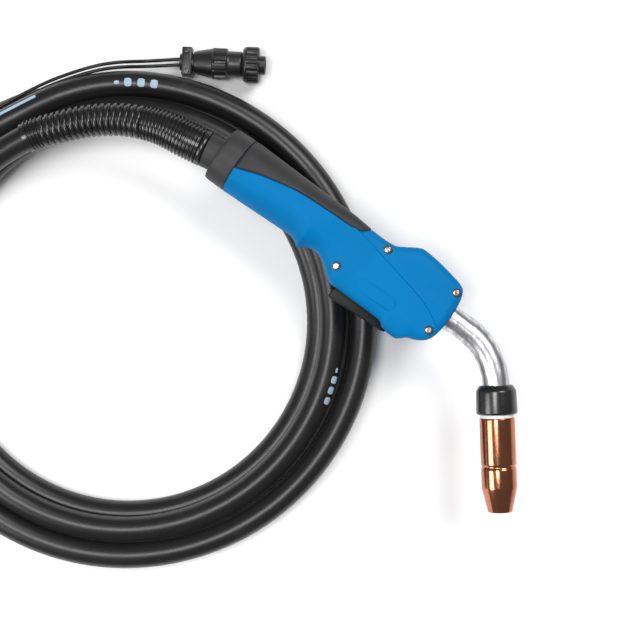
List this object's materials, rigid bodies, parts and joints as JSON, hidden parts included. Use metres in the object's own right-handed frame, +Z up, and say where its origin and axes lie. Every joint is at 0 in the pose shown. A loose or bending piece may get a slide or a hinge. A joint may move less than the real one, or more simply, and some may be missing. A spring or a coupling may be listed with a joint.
{
  "type": "mig welding torch",
  "caption": "MIG welding torch with a ball-swivel handle, trigger, bent neck and slip-on nozzle, on a coiled power cable with feeder connector and control plug.",
  "frame": {"origin": "where the wire leaves the contact tip, on the bore's axis", "axes": "+X along the handle from the swivel towards the neck, +Y towards the padded back of the handle, +Z up from the bench and square to the plane that the two shells meet on"},
  "size_m": [0.4594, 0.3776, 0.0726],
  "materials": {
    "collar_dark": "satin",
    "shell_blue": "satin",
    "pad_grey": "matte",
    "steel_fastener": "polished",
    "trigger_black": "satin",
    "spring_steel": "satin",
    "switch_black": "matte",
    "switch_red": "satin",
    "plated_contact": "satin",
    "cable_rubber": "satin",
    "copper": "polished",
    "brass": "satin",
    "neck_bright": "polished",
    "neck_insulation": "matte",
    "liner_steel": "satin",
    "insulator_black": "gloss",
    "insulator_white": "matte",
    "relief_black": "gloss",
    "feeder_black": "matte",
    "o_ring": "satin",
    "plug_black": "matte"
  },
  "bodies": {
    "cable": {"swivel_ball": "relief_black", "strain_relief": "relief_black", "cable_lead": "cable_rubber", "cable_coil": "cable_rubber", "cable_tail": "cable_rubber", "feeder_relief": "feeder_black", "feeder_housing_right": "feeder_black", "feeder_housing_left": "feeder_black", "feeder_screws": "steel_fastener", "feeder_nuts": "steel_fastener", "power_pin": "brass", "pin_o_rings": "o_ring", "liner_screw": "steel_fastener", "control_lead_a": "cable_rubber", "control_lead_b": "cable_rubber", "plug_shell": "plug_black", "plug_saddle": "plug_black", "plug_screws": "steel_fastener", "plug_insert": "plug_black", "plug_pins": "plated_contact"},
    "handle": {"swivel_collar": "collar_dark", "shell_right": "shell_blue", "shell_left": "shell_blue", "grip_pad_right": "pad_grey", "grip_pad_left": "pad_grey", "shell_screws": "steel_fastener", "shell_nuts": "steel_fastener", "trigger_pin": "steel_fastener", "switch_body": "switch_black", "switch_terminals": "plated_contact", "inner_cable": "cable_rubber", "crimp_sleeve": "copper", "neck_block": "brass", "neck_armour": "neck_bright", "neck_insulation": "neck_insulation", "neck_conductor": "copper", "wire_liner": "liner_steel", "nozzle_insulator": "insulator_black", "white_insulator": "insulator_white", "gas_diffuser": "brass", "contact_tip": "copper"},
    "trigger": {"trigger": "trigger_black", "trigger_spring": "spring_steel"},
    "switch_plunger": {"switch_plunger": "switch_red"},
    "nozzle": {"nozzle": "copper", "nozzle_insert": "brass"},
    "coupling_ring": {"coupling_ring": "plug_black"}
  },
  "joints": [
    {"name": "swivel_swing", "type": "hinge", "parent": "cable", "child": "handle", "pos_m": [-0.26938, 0.08521, 0], "axis": [0, 0, 1], "range_deg": [-6, 24]},
    {"name": "trigger_squeeze", "type": "hinge", "parent": "handle", "child": "trigger", "pos_m": [-0.13038, 0.05421, 0], "axis": [0, 0, -1], "range_deg": [0, 6.5], "stiffness_Nm_per_rad": 0.6, "springref_deg": -8.59},
    {"name": "plunger_press", "type": "slide", "parent": "handle", "child": "switch_plunger", "axis": [0, 1, 0], "range_m": [0, 0.0014]},
    {"name": "nozzle_slide", "type": "slide", "parent": "handle", "child": "nozzle", "axis": [0.6018, -0.7986, 0], "range_m": [0, 0.05]},
    {"name": "coupling_spin", "type": "hinge", "parent": "cable", "child": "coupling_ring", "pos_m": [-0.30647, 0.14839, -0.04075], "axis": [0.8434, 0.5373, 0], "continuous": true}
  ],
  "couplings": [
    {"joint": "plunger_press", "follows": "trigger_squeeze", "m_per_rad": 0.012}
  ]
}
